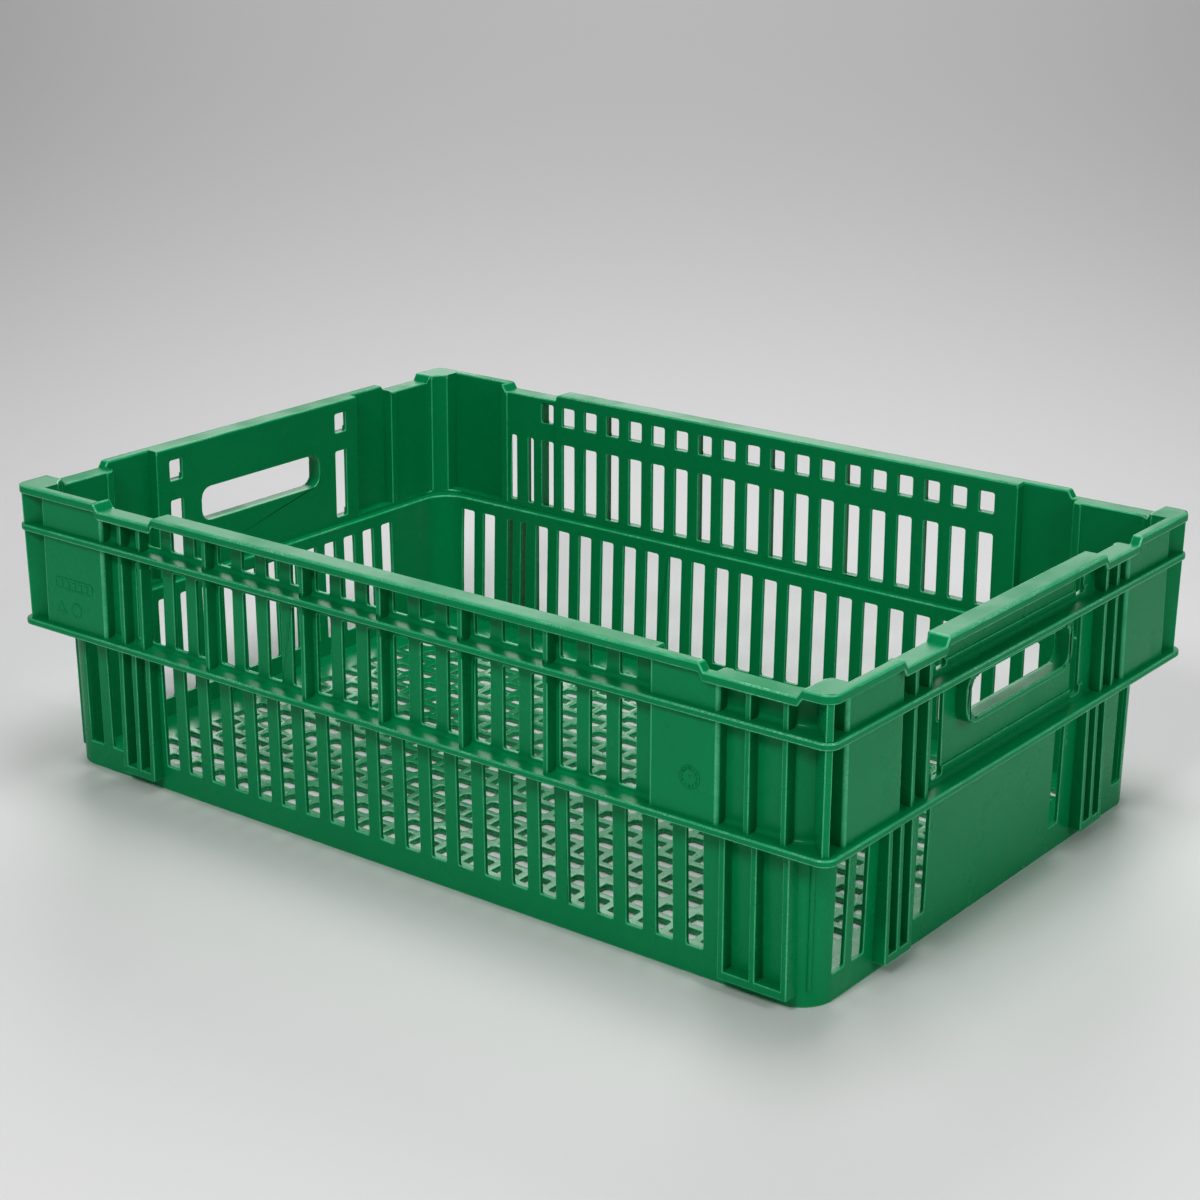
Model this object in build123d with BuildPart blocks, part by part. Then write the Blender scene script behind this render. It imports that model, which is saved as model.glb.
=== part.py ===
"""Stack-and-nest ventilated storage crate, 600 x 400 mm footprint.

Frame: +X along the long side, +Y across, +Z up, origin at the bottom centre.
The crate is one moulding; every structural zone of it is its own piece here.
Fed half a turn round, its wall columns stand in the stacking pockets of the
crate below; fed the same way round, they slide into the nesting bays.
"""
import os
from math import atan, degrees, sqrt

from build123d import *

os.makedirs("parts", exist_ok=True)

# ---- overall size -----------------------------------------------------------
length = 600.0            # along X, over the flanges
width = 400.0             # along Y, over the flanges
height = 183.0            # over the raised rim
flange_radius = 8.0       # plan radius of rim and flange corners
wall = 2.7                # general wall thickness
column_reach = 7.2        # how far the columns stand out of the lower wall

# ---- heights ----------------------------------------------------------------
ledge_z = 92.0            # underside of the ledge flange
flange_t = 4.2            # thickness of ledge flange and middle flange
ledge_step = 2.2          # inner edge of the ledge sits this much lower
mid_drop = 29.3           # top of the rim to the underside of the middle flange
rim_plate = 3.0           # top plate of the rim
rim_lip_h = 5.5           # full height of the rim's outer lip
rim_lip_w = 2.6           # thickness of that lip
dip_drop = 4.5            # how far the dipped stretches lie under the rim
ramp = 3.0                # run of the ramp into a dip

# ---- plan of the two bands --------------------------------------------------
lower_set_in = 19.1       # flange edge to lower wall, at the floor
lower_draft = 2.2         # widening of the lower body up to the ledge
lower_radius = 20.0       # plan radius of the lower body
upper_set_in = 11.5       # flange edge to upper wall
upper_radius = 20.0       # plan radius of the upper wall
rib_set_in = 4.0          # flange edge to the outer edge of ribs and pockets
rib_t = 3.2               # thickness of the upright ribs

# ---- vents ------------------------------------------------------------------
vent_pitch = 19.73        # spacing of the vents along a long wall
vent_first = 113.0        # left end of the crate to the centre of the first vent
vent_w = 10.8             # vent width
vent_end_gap = 12.0       # least distance from a vent's centre to a pocket or column
window_margins = (2.6, 8.7)           # over the middle flange, under the rim's top
slot_margins = (2.8, 6.5)             # over the ledge flange, under the middle flange
lower_slot_margins = (16.0, 7.0)      # over the crate's underside, under the ledge
narrow_vent = 5.0         # vents inside the narrow column and bay pockets
narrow_bay_vents = (82.2, 97.7)       # their centres from the left end, upper band
narrow_column_vents = (83.7, 96.0)    # and in the lower band
outer_vent = 63.5         # left end to the last plain vent of the lower band
panel_rib_gaps = (3, 7, 10, 13, 16)   # a rib follows each of these vents
left_vent_pitch = 19.6    # the lower left wall has its own even row
# lower right wall, from the nearest long side to a vent's two edges
right_vents = (("front", 55.8, 67.2), ("front", 117.7, 129.0), ("back", 118.2, 129.5))
left_corner_vent = (38.0, 49.5)       # left end of the crate to its two edges
right_corner_vent = (37.0, 48.5)      # long side of the crate to its two edges
panel_vent_y = 78.0       # the vents beside each hand hole

# ---- floor ------------------------------------------------------------------
floor_t = 3.5
floor_border = 22.0
floor_pitch_x, floor_pitch_y = 21.0, 16.5
floor_bar = 5.5

# ---- hand holes -------------------------------------------------------------
hand_w = 112.0
hand_h = 23.0
hand_gap = 4.2            # hand hole to the middle flange over it
hand_radius = 8.0
collar_t = 4.0

# ---- shallow bands on the short walls ---------------------------------------
band_low_h = 7.8          # height over the ledge flange
band_high_h = 6.1         # height over the middle flange
band_out = 1.0
band_half = 88.0

# ---- how far the modelling reaches ------------------------------------------
past = 1.0                # cuts and roots run this much past the face they meet
hollow_cut = 16.0         # pocket hollows are cut from this far inside the wall's face
bay_cut = 8.0             # bays from this far
pocket_root = 18.0        # pockets are drawn back to here, then trimmed by the wall

# ---- diagonal corner fins ---------------------------------------------------
fin_t = 4.0
fin_set_in_top = 3.0      # flange edge to the fin's end, in plan, at the rim
fin_set_in_low = 4.6      # the same at the ledge

# ---- where things sit along the walls ---------------------------------------
# On a long wall they are measured from the crate's nearest end, and on a short
# wall from its nearest long side. Each pair is from the near to the far edge.
dips = {"long_left": (72.0, 123.0), "long_right": (18.0, 80.0),
        "left": (26.0, 71.0), "right": (67.0, 112.0)}
pockets_at = {"long_left": (19.5, 74.0), "long_right": (69.5, 113.0),
              "left": (66.0, 108.0), "right": (20.5, 75.0)}
bays_at = {"long_left": (76.7, 121.5), "long_right": (25.0, 66.8),
           "left": (26.0, 63.3), "right": (77.7, 112.0)}
bay_ribs_at = {"long_left": (89.5, 106.0), "long_right": (52.0, 29.6),
               "left": (52.0, 38.0), "right": (101.0, 87.0)}
bay_recess = 1.1          # the bays' inner face lies this much further out

# columns: centre, then overall span
columns_at = {"long_left": (90.0, 27.6), "long_right": (51.2, 43.0),
              "left": (50.0, 26.5), "right": (90.0, 26.5)}
column_rib_t = 3.7
column_foot_z = (7.0, 12.0)
column_root = 1.0         # the columns run this much past their reach, into the draft
lower_corner_long = 54.5  # end of the crate to where the lower corner pieces start
lower_corner_short = 52.4 # the same on the short walls

# ---- worked-out sizes -------------------------------------------------------
half_l, half_w = length / 2, width / 2
up_x, up_y = half_l - upper_set_in, half_w - upper_set_in
low_x, low_y = half_l - lower_set_in, half_w - lower_set_in
rib_x, rib_y = half_l - rib_set_in, half_w - rib_set_in
up_base = ledge_z + flange_t
mid_z = height - mid_drop
mid_top = mid_z + flange_t
window_z = (mid_top + window_margins[0], height - window_margins[1])
slot_z = (up_base + slot_margins[0], mid_z - slot_margins[1])
lower_slot_z = (lower_slot_margins[0], ledge_z - lower_slot_margins[1])
hand_z = (mid_z - hand_gap - hand_h, mid_z - hand_gap)
draft_angle = degrees(atan(lower_draft / ledge_z))
low_top_x, low_top_y = low_x + lower_draft, low_y + lower_draft
dip_top = height - rim_plate - dip_drop       # underside of the rim in a dip
# on each short wall, and at each end of a long wall
sides = ((-1, "left"), (1, "right"))
faces = ((-1, "front"), (1, "back"))


def along_x(side, place):
    """A place on a long wall, from its distance to the crate's end."""
    return -half_l + place if side == "left" else half_l - place


def span_x(side, pair):
    """The two x values of a feature on a long wall, in rising order."""
    return tuple(sorted(along_x(side, place) for place in pair))


def span_y(pair):
    """The two |y| values of a feature on a short wall, in rising order."""
    return tuple(sorted(half_w - place for place in pair))


long_dips = {side: span_x(side, dips[f"long_{side}"]) for _, side in sides}
short_dips = {side: span_y(dips[side]) for _, side in sides}
long_pockets = {side: span_x(side, pockets_at[f"long_{side}"]) for _, side in sides}
short_pockets = {side: span_y(pockets_at[side]) for _, side in sides}
long_bays = {side: span_x(side, bays_at[f"long_{side}"]) for _, side in sides}
short_bays = {side: span_y(bays_at[side]) for _, side in sides}
long_bay_ribs = {side: [along_x(side, place) for place in bay_ribs_at[f"long_{side}"]]
                 for _, side in sides}
short_bay_ribs = {side: [half_w - place for place in bay_ribs_at[side]]
                  for _, side in sides}
# the hollow of each pocket, one wall inside its plate
hollow_x = {side: (x0 + wall, x1 - wall) for side, (x0, x1) in long_pockets.items()}
hollow_y = {side: (y0 + wall, y1 - wall) for side, (y0, y1) in short_pockets.items()}
# rim and upper wall turn into their corner pieces at the far edge of that hollow
corner_x = {"left": -hollow_x["left"][0], "right": hollow_x["right"][1]}
corner_y = {side: hollow_y[side][1] for _, side in sides}
low_corner_x, low_corner_y = half_l - lower_corner_long, half_w - lower_corner_short
low_face_x = low_x + column_reach + column_root
low_face_y = low_y + column_reach + column_root
mid_x, mid_y = low_x - lower_radius, low_y - lower_radius   # safely inside the walls
ring_y = mid_y + lower_radius / 2             # the two flanges' short stretches end here


def block(x0, x1, y0, y1, z0, z1, mode=Mode.ADD):
    """Add (or cut, or keep) the box between two corners."""
    with Locations(((x0 + x1) / 2, (y0 + y1) / 2, (z0 + z1) / 2)):
        Box(abs(x1 - x0), abs(y1 - y0), abs(z1 - z0), mode=mode)


def rounded_block(hx, hy, radius, z0, z1, mode=Mode.ADD, taper=0.0):
    """Add a rounded rectangle of half sizes hx, hy, standing from z0 to z1."""
    with BuildSketch(Plane.XY.offset(z0)) as plan:
        RectangleRounded(2 * hx, 2 * hy, radius)
    extrude(plan.sketch, amount=z1 - z0, taper=taper, mode=mode)


def trench(long_wall, a0, a1, far0, far1, top):
    """Cut a dip with ramped ends, a0..a1 along the wall, down from a level top."""
    pts = ((a0, top + past), (a0, top), (a0 + ramp, top - dip_drop),
           (a1 - ramp, top - dip_drop), (a1, top), (a1, top + past))
    plane = Plane.XZ if long_wall else Plane.YZ
    sign = -1 if long_wall else 1
    with BuildSketch(plane.offset(sign * far0)) as shape:
        with BuildLine():
            Polyline(*pts, close=True)
        make_face()
    extrude(shape.sketch, amount=sign * (far1 - far0), mode=Mode.SUBTRACT)


def capped_block(drop):
    """Everything up to the rim's top line, less a drop."""
    with BuildPart() as body:
        block(-half_l - past, half_l + past, -half_w - past, half_w + past,
              up_base, height - drop)
        for s in (-1, 1):
            for a0, a1 in long_dips.values():
                trench(True, a0, a1, s * ring_y, s * (half_w + 2 * past), height - drop)
            for sx, side in sides:
                lo, hi = sorted(s * place for place in short_dips[side])
                trench(False, lo, hi, sx * mid_x, sx * (half_l + 2 * past), height - drop)
    return body.part


under_rim = capped_block(rim_plate)
under_lip = capped_block(rim_lip_h)
whole_cap = capped_block(0.0)

with BuildPart() as lower_core_b:
    rounded_block(low_x, low_y, lower_radius, 0, ledge_z, taper=-draft_angle)
lower_core = lower_core_b.part

with BuildPart() as lower_cavity_b:
    rounded_block(low_x - wall, low_y - wall, lower_radius - wall, 0, ledge_z,
                  taper=-draft_angle)
lower_cavity = lower_cavity_b.part

with BuildPart() as upper_core_b:
    rounded_block(up_x, up_y, upper_radius, up_base, height)
upper_core = upper_core_b.part

with BuildPart() as recesses_b:
    # pockets open into the crate, ending one wall short of their outer plate
    for s in (-1, 1):
        for x0, x1 in hollow_x.values():
            block(x0, x1, s * (up_y - hollow_cut), s * (rib_y - wall),
                  up_base, height + past)
        for sx, side in sides:
            y0, y1 = hollow_y[side]
            block(sx * (up_x - hollow_cut), sx * (rib_x - wall), s * y0, s * y1,
                  up_base, height + past)
recesses = recesses_b.part

with BuildPart() as bays_b:
    for s in (-1, 1):
        for x0, x1 in long_bays.values():
            block(x0, x1, s * (up_y - bay_cut), s * (up_y - wall + bay_recess),
                  up_base, height + past)
        for sx, side in sides:
            y0, y1 = short_bays[side]
            block(sx * (up_x - bay_cut), sx * (up_x - wall + bay_recess), s * y0, s * y1,
                  up_base, height + past)
    # where a bay reaches a rounded corner, it follows the curve
    rounded_block(up_x - wall + bay_recess, up_y - wall + bay_recess,
                  upper_radius - wall + bay_recess, up_base, height + past, Mode.INTERSECT)
bays = bays_b.part

with BuildPart() as upper_shell_b:
    add(upper_core)
    rounded_block(up_x - wall, up_y - wall, upper_radius - wall, up_base, height,
                  Mode.SUBTRACT)
    add(under_rim, mode=Mode.INTERSECT)
    add(recesses, mode=Mode.SUBTRACT)
    add(bays, mode=Mode.SUBTRACT)
upper_shell = upper_shell_b.part

with BuildPart() as rim_lip_b:
    rounded_block(half_l, half_w, flange_radius, up_base, height)
    rounded_block(half_l - rim_lip_w, half_w - rim_lip_w, flange_radius - rim_lip_w,
                  up_base, height, Mode.SUBTRACT)
    add(whole_cap, mode=Mode.INTERSECT)
    add(under_lip, mode=Mode.SUBTRACT)
rim_lip = rim_lip_b.part

with BuildPart() as lower_shell_b:
    add(lower_core)
    add(lower_cavity, mode=Mode.SUBTRACT)
lower_shell = lower_shell_b.part


def flip_y(part):
    """Mirror image on the other long side."""
    return mirror(part, about=Plane.XZ)


def save(part, label):
    """Label one piece and write it out."""
    part.label = label
    export_step(part, f"parts/{label}.step")


def vent_row(limit):
    """Centres of the vents of a long wall, up to a pocket or column at limit."""
    first = along_x("left", vent_first)
    count = int((limit - vent_end_gap - first) // vent_pitch) + 1
    return [first + i * vent_pitch for i in range(count)]


column_place, column_span = columns_at["long_right"]
lower_vents_x = vent_row(along_x("right", column_place) - column_span / 2)
upper_vents_x = vent_row(long_pockets["right"][0])
panel_ribs_x = [upper_vents_x[n - 1] + vent_pitch / 2 for n in panel_rib_gaps
                if n < len(upper_vents_x)]
column_place, column_span = columns_at["left"]
left_reach = half_w - column_place - column_span / 2 - vent_end_gap
left_each_way = int(left_reach // left_vent_pitch)
left_vents_y = [left_vent_pitch * k for k in range(-left_each_way, left_each_way + 1)]

# ==== floor ==================================================================
inner_l, inner_w = 2 * (low_x - wall), 2 * (low_y - wall)
holes_x = int((inner_l - 2 * floor_border + floor_bar) // floor_pitch_x)
holes_y = int((inner_w - 2 * floor_border + floor_bar) // floor_pitch_y)

with BuildPart() as floor_grid:
    block(-half_l, half_l, -half_w, half_w, 0, floor_t)
    add(lower_cavity, mode=Mode.INTERSECT)
    with BuildSketch():
        with GridLocations(floor_pitch_x, floor_pitch_y, holes_x, holes_y):
            Rectangle(floor_pitch_x - floor_bar, floor_pitch_y - floor_bar)
    extrude(amount=floor_t, mode=Mode.SUBTRACT)
save(floor_grid.part, "floor_grid")

# ==== lower walls ============================================================
with BuildPart() as lower_wall_front:
    add(lower_shell)
    block(-low_corner_x, low_corner_x, -half_w, -mid_y, 0, ledge_z, Mode.INTERSECT)
    for x in lower_vents_x + [along_x("left", outer_vent)]:
        block(x - vent_w / 2, x + vent_w / 2, -half_w, -mid_y, *lower_slot_z,
              Mode.SUBTRACT)
    for place in narrow_column_vents:
        x = along_x("left", place)
        block(x - narrow_vent / 2, x + narrow_vent / 2, -half_w, -mid_y,
              *lower_slot_z, Mode.SUBTRACT)
save(lower_wall_front.part, "lower_wall_front")

with BuildPart() as lower_wall_back:
    add(flip_y(lower_wall_front.part))
save(lower_wall_back.part, "lower_wall_back")

with BuildPart() as lower_wall_right:
    add(lower_shell)
    block(mid_x, half_l, -low_corner_y, low_corner_y, 0, ledge_z, Mode.INTERSECT)
    for face, near, far in right_vents:
        sy = -1 if face == "front" else 1
        block(mid_x, half_l, sy * (half_w - far), sy * (half_w - near),
              *lower_slot_z, Mode.SUBTRACT)
save(lower_wall_right.part, "lower_wall_right")

with BuildPart() as lower_wall_left:
    add(lower_shell)
    block(-half_l, -mid_x, -low_corner_y, low_corner_y, 0, ledge_z, Mode.INTERSECT)
    for y in left_vents_y:
        block(-half_l, -mid_x, y - vent_w / 2, y + vent_w / 2, *lower_slot_z,
              Mode.SUBTRACT)
save(lower_wall_left.part, "lower_wall_left")


def lower_corner(sx, sy):
    """Rounded corner of the lower body with its own end vents."""
    with BuildPart() as corner:
        add(lower_shell)
        block(sx * low_corner_x, sx * half_l, sy * low_corner_y, sy * half_w,
              0, ledge_z, Mode.INTERSECT)
        if sx < 0:
            block(*span_x("left", left_corner_vent), sy * mid_y, sy * half_w,
                  *lower_slot_z, Mode.SUBTRACT)
        else:
            y0, y1 = span_y(right_corner_vent)
            block(mid_x, half_l, sy * y0, sy * y1, *lower_slot_z, Mode.SUBTRACT)
    return corner.part


for sx, side in sides:
    for sy, face in faces:
        save(lower_corner(sx, sy), f"lower_corner_{face}_{side}")


# ==== columns on the lower walls =============================================
def column_long(centre, span):
    """Ribbed column standing out of the front wall, foot plate included."""
    y0, y1 = -low_face_y, -low_y + 2 * wall
    step = (span - column_rib_t) / 2
    with BuildPart() as column:
        block(centre - span / 2, centre + span / 2, y0, y1, *column_foot_z)
        for k in (-1, 0, 1):
            block(centre + k * step - column_rib_t / 2,
                  centre + k * step + column_rib_t / 2, y0, y1, column_foot_z[0], ledge_z)
        add(lower_core, mode=Mode.SUBTRACT)
    return column.part


def column_short(sx, centre, span):
    """The same column on a short wall."""
    x0, x1 = sx * (low_x - 2 * wall), sx * low_face_x
    step = (span - column_rib_t) / 2
    with BuildPart() as column:
        block(x0, x1, centre - span / 2, centre + span / 2, *column_foot_z)
        for k in (-1, 0, 1):
            block(x0, x1, centre + k * step - column_rib_t / 2,
                  centre + k * step + column_rib_t / 2, column_foot_z[0], ledge_z)
        add(lower_core, mode=Mode.SUBTRACT)
    return column.part


for sx, side in sides:
    place, span = columns_at[f"long_{side}"]
    front_column = column_long(along_x(side, place), span)
    save(front_column, f"column_front_{side}")
    save(flip_y(front_column), f"column_back_{side}")
    place, span = columns_at[side]
    for sy, face in faces:
        save(column_short(sx, sy * (half_w - place), span), f"column_{side}_{face}")


# ==== stacking pockets in the upper band =====================================
def pocket_long(x0, x1):
    """Channel behind which a column of the crate above can stand."""
    with BuildPart() as pocket:
        block(x0, x1, -rib_y, -up_y + pocket_root, up_base, height)
        block(x0 + wall, x1 - wall, -rib_y + wall, -up_y + pocket_root + past,
              up_base, height, Mode.SUBTRACT)
        add(upper_core, mode=Mode.SUBTRACT)
        add(under_rim, mode=Mode.INTERSECT)
    return pocket.part


def pocket_short(sx, y0, y1):
    """The same channel on a short wall, y0..y1 on the front half."""
    with BuildPart() as pocket:
        block(sx * (up_x - pocket_root), sx * rib_x, -y0, -y1, up_base, height)
        block(sx * (up_x - pocket_root - past), sx * (rib_x - wall), -(y0 + wall),
              -(y1 - wall), up_base, height, Mode.SUBTRACT)
        add(upper_core, mode=Mode.SUBTRACT)
        add(under_rim, mode=Mode.INTERSECT)
    return pocket.part


pockets = {}
for sx, side in sides:
    pockets[f"pocket_front_{side}"] = pocket_long(*long_pockets[side])
    pockets[f"pocket_back_{side}"] = flip_y(pockets[f"pocket_front_{side}"])
    pockets[f"pocket_{side}_front"] = pocket_short(sx, *short_pockets[side])
    pockets[f"pocket_{side}_back"] = flip_y(pockets[f"pocket_{side}_front"])
for label, part in pockets.items():
    save(part, label)


# ==== upper walls ============================================================
def rib_long(x):
    """Upright rib on the front wall."""
    block(x - rib_t / 2, x + rib_t / 2, -rib_y, -up_y, up_base, height)


with BuildPart() as upper_wall_front:
    add(upper_shell)
    block(-corner_x["left"], hollow_x["right"][0], -half_w, -mid_y, up_base, height,
          Mode.INTERSECT)
    for x in upper_vents_x:
        for z0, z1 in (window_z, slot_z):
            block(x - vent_w / 2, x + vent_w / 2, -half_w, -mid_y, z0, z1,
                  Mode.SUBTRACT)
    for place in narrow_bay_vents:
        x = along_x("left", place)
        block(x - narrow_vent / 2, x + narrow_vent / 2, -half_w, -mid_y, *slot_z,
              Mode.SUBTRACT)
    for x in long_bay_ribs["left"] + panel_ribs_x:
        rib_long(x)
    add(under_rim, mode=Mode.INTERSECT)
save(upper_wall_front.part, "upper_wall_front")

with BuildPart() as upper_wall_back:
    add(flip_y(upper_wall_front.part))
save(upper_wall_back.part, "upper_wall_back")


def rib_short(sx, y):
    """Upright rib on a short wall, ending under the dip."""
    block(sx * (up_x - past), sx * rib_x, y - rib_t / 2, y + rib_t / 2, up_base,
          dip_top)


def upper_wall_short(sx, side, rib_places):
    """Short wall of the upper band: vents, ribs, bands and the hand hole."""
    end_y = hollow_y[side][0]
    with BuildPart() as panel:
        add(upper_shell)
        block(sx * mid_x, sx * half_l, -end_y, end_y, up_base, height, Mode.INTERSECT)
        # shallow bands above each flange, as wide as the plain panel
        for z0, z1 in ((up_base, up_base + band_low_h), (mid_top, mid_top + band_high_h)):
            block(sx * (up_x - past), sx * (up_x + band_out), -band_half, band_half,
                  z0, z1)
        for s in (-1, 1):
            for z0, z1 in (window_z, slot_z):
                block(sx * mid_x, sx * half_l, s * panel_vent_y - vent_w / 2,
                      s * panel_vent_y + vent_w / 2, z0, z1, Mode.SUBTRACT)
            for y in rib_places:
                rib_short(sx, s * y)
        with BuildSketch(Plane.YZ.offset(sx * mid_x)) as opening:
            with Locations((0, sum(hand_z) / 2)):
                RectangleRounded(hand_w, hand_z[1] - hand_z[0], hand_radius)
        extrude(opening.sketch, amount=sx * (half_l - mid_x), mode=Mode.SUBTRACT)
    return panel.part


def hand_collar(sx):
    """Raised grip round the hand hole, ending under the middle flange."""
    mid = (hand_z[0] - collar_t + mid_z) / 2
    with BuildPart() as collar:
        with BuildSketch(Plane.YZ.offset(sx * up_x)) as outline:
            with Locations((0, mid)):
                RectangleRounded(hand_w + 2 * collar_t, mid_z - hand_z[0] + collar_t,
                                 hand_radius + collar_t)
            with Locations((0, sum(hand_z) / 2)):
                RectangleRounded(hand_w, hand_z[1] - hand_z[0], hand_radius,
                                 mode=Mode.SUBTRACT)
        extrude(outline.sketch, amount=sx * (upper_set_in - rib_set_in))
    return collar.part


short_walls = {}
for sx, side in sides:
    # the left wall's bays lie beyond its pockets, on the corner pieces
    ribs = short_bay_ribs[side] if side == "right" else ()
    short_walls[side] = upper_wall_short(sx, side, ribs)
    save(short_walls[side], f"upper_wall_{side}")
    save(hand_collar(sx), f"hand_collar_{side}")


# ==== upper corners ==========================================================
def corner_fin():
    """Upright diagonal fin from the wall's corner to the flange's, front right."""
    start = (up_x - upper_radius, up_y - upper_radius)
    reach_top = sqrt(2) * (upper_radius + upper_set_in - fin_set_in_top)
    reach_low = sqrt(2) * (upper_radius + upper_set_in - fin_set_in_low)
    plane = Plane(origin=(start[0], -start[1], 0), x_dir=(1, -1, 0), z_dir=(-1, -1, 0))
    with BuildPart() as fin:
        with BuildSketch(plane) as side_view:
            with BuildLine():
                Polyline((0, up_base), (reach_low, up_base), (reach_top, height),
                         (0, height), close=True)
            make_face()
        extrude(side_view.sketch, amount=fin_t / 2, both=True)
        add(upper_core, mode=Mode.SUBTRACT)
    return fin.part


fin_front_right = corner_fin()
fin_front_left = mirror(fin_front_right, about=Plane.YZ)


def upper_corner_front(sx, side, fin):
    """Rounded corner of the upper wall with its fin and the bay beside it."""
    start_x, start_y = corner_x[side], corner_y[side]
    with BuildPart() as fin_between:
        add(fin)
        # a deeper-set wall brings the fin's root up to the pockets beside it
        add(pockets[f"pocket_front_{side}"], mode=Mode.SUBTRACT)
        add(pockets[f"pocket_{side}_front"], mode=Mode.SUBTRACT)
    with BuildPart() as corner:
        add(upper_shell)
        block(sx * start_x, sx * half_l, -half_w, -start_y, up_base, height,
              Mode.INTERSECT)
        if side == "right":
            for x in long_bay_ribs[side]:
                block(x - rib_t / 2, x + rib_t / 2, -rib_y, -up_y + past, up_base,
                      dip_top)
        else:
            for y in short_bay_ribs[side]:
                rib_short(sx, -y)
        add(fin_between.part)
        add(under_rim, mode=Mode.INTERSECT)
        add(rim_lip, mode=Mode.SUBTRACT)
    return corner.part


corner_parts = {"right": upper_corner_front(1, "right", fin_front_right),
                "left": upper_corner_front(-1, "left", fin_front_left)}
for side, part in corner_parts.items():
    save(part, f"upper_corner_front_{side}")
    save(flip_y(part), f"upper_corner_back_{side}")

# ==== flanges and rim ========================================================
with BuildPart() as ledge_ring_b:
    rounded_block(half_l, half_w, flange_radius, ledge_z, up_base)
    rounded_block(low_top_x - wall, low_top_y - wall, lower_radius - wall + lower_draft,
                  ledge_z, up_base, Mode.SUBTRACT)
    rounded_block(up_x - wall, up_y - wall, upper_radius - wall,
                  up_base - ledge_step, up_base, Mode.SUBTRACT)

with BuildPart() as middle_ring_b:
    rounded_block(half_l, half_w, flange_radius, mid_z, mid_top)
    add(upper_core, mode=Mode.SUBTRACT)
    # ribs, pockets and fins stand through it, leaving its outer edge whole
    add(upper_wall_front.part, mode=Mode.SUBTRACT)
    add(upper_wall_back.part, mode=Mode.SUBTRACT)
    for part in list(pockets.values()) + list(short_walls.values()):
        add(part, mode=Mode.SUBTRACT)
    for part in corner_parts.values():
        add(part, mode=Mode.SUBTRACT)
        add(flip_y(part), mode=Mode.SUBTRACT)
    add(recesses, mode=Mode.SUBTRACT)

with BuildPart() as rim_ring_b:
    rounded_block(half_l, half_w, flange_radius, up_base, height)
    rounded_block(up_x - wall, up_y - wall, upper_radius - wall, up_base, height,
                  Mode.SUBTRACT)
    add(whole_cap, mode=Mode.INTERSECT)
    add(under_rim, mode=Mode.SUBTRACT)
    add(rim_lip)
    add(recesses, mode=Mode.SUBTRACT)
    add(bays, mode=Mode.SUBTRACT)


def long_stretch(ring, sy, x0, x1):
    """The part of a ring between two places on one long side."""
    with BuildPart() as stretch:
        add(ring)
        block(x0, x1, sy * ring_y, sy * (half_w + past), 0, height + past,
              Mode.INTERSECT)
    return stretch.part


def short_stretch(ring, sx, y0, y1):
    """The part of a ring between two places on one short side."""
    with BuildPart() as stretch:
        add(ring)
        block(sx * mid_x, sx * (half_l + past), y0, y1, 0, height + past,
              Mode.INTERSECT)
    return stretch.part


def rim_corner(sx, sy, side):
    """Corner of the rim, up to the stacking pockets on both sides of it."""
    with BuildPart() as corner:
        add(rim_ring_b.part)
        block(sx * corner_x[side], sx * (half_l + past), sy * corner_y[side],
              sy * (half_w + past), 0, height + past, Mode.INTERSECT)
    return corner.part


rim = rim_ring_b.part
for ring, name in ((ledge_ring_b.part, "ledge_flange"),
                   (middle_ring_b.part, "middle_flange")):
    for sy, face in faces:
        save(long_stretch(ring, sy, -half_l - past, half_l + past), f"{name}_{face}")
    for sx, side in sides:
        save(short_stretch(ring, sx, -ring_y, ring_y), f"{name}_{side}")
for sy, face in faces:
    save(long_stretch(rim, sy, hollow_x["left"][1], hollow_x["right"][0]), f"rim_{face}")
    for sx, side in sides:
        save(long_stretch(rim, sy, *hollow_x[side]), f"rim_{face}_pocket_{side}")
        save(rim_corner(sx, sy, side), f"rim_corner_{face}_{side}")
for sx, side in sides:
    y0, y1 = hollow_y[side]
    save(short_stretch(rim, sx, -y0, y0), f"rim_{side}")
    for sy, face in faces:
        lo, hi = sorted((sy * y0, sy * y1))
        save(short_stretch(rim, sx, lo, hi), f"rim_{side}_pocket_{face}")
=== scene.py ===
"""Looks of a stack-and-nest ventilated storage crate, 600 x 400 x 183 mm.

The crate is one green moulding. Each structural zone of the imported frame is
finished as a piece of its own: its edges are rounded as a mould rounds them,
and the small raised details of the moulding are added on top. Everything is in
metres, in the frame's own axes.
"""
from __future__ import annotations

import logging
import math
from contextlib import contextmanager
from dataclasses import dataclass, field
from enum import Enum
from typing import Callable, Iterable, Iterator

import bmesh
import bpy
from mathutils import Matrix, Vector
from mathutils.bvhtree import BVHTree

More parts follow.
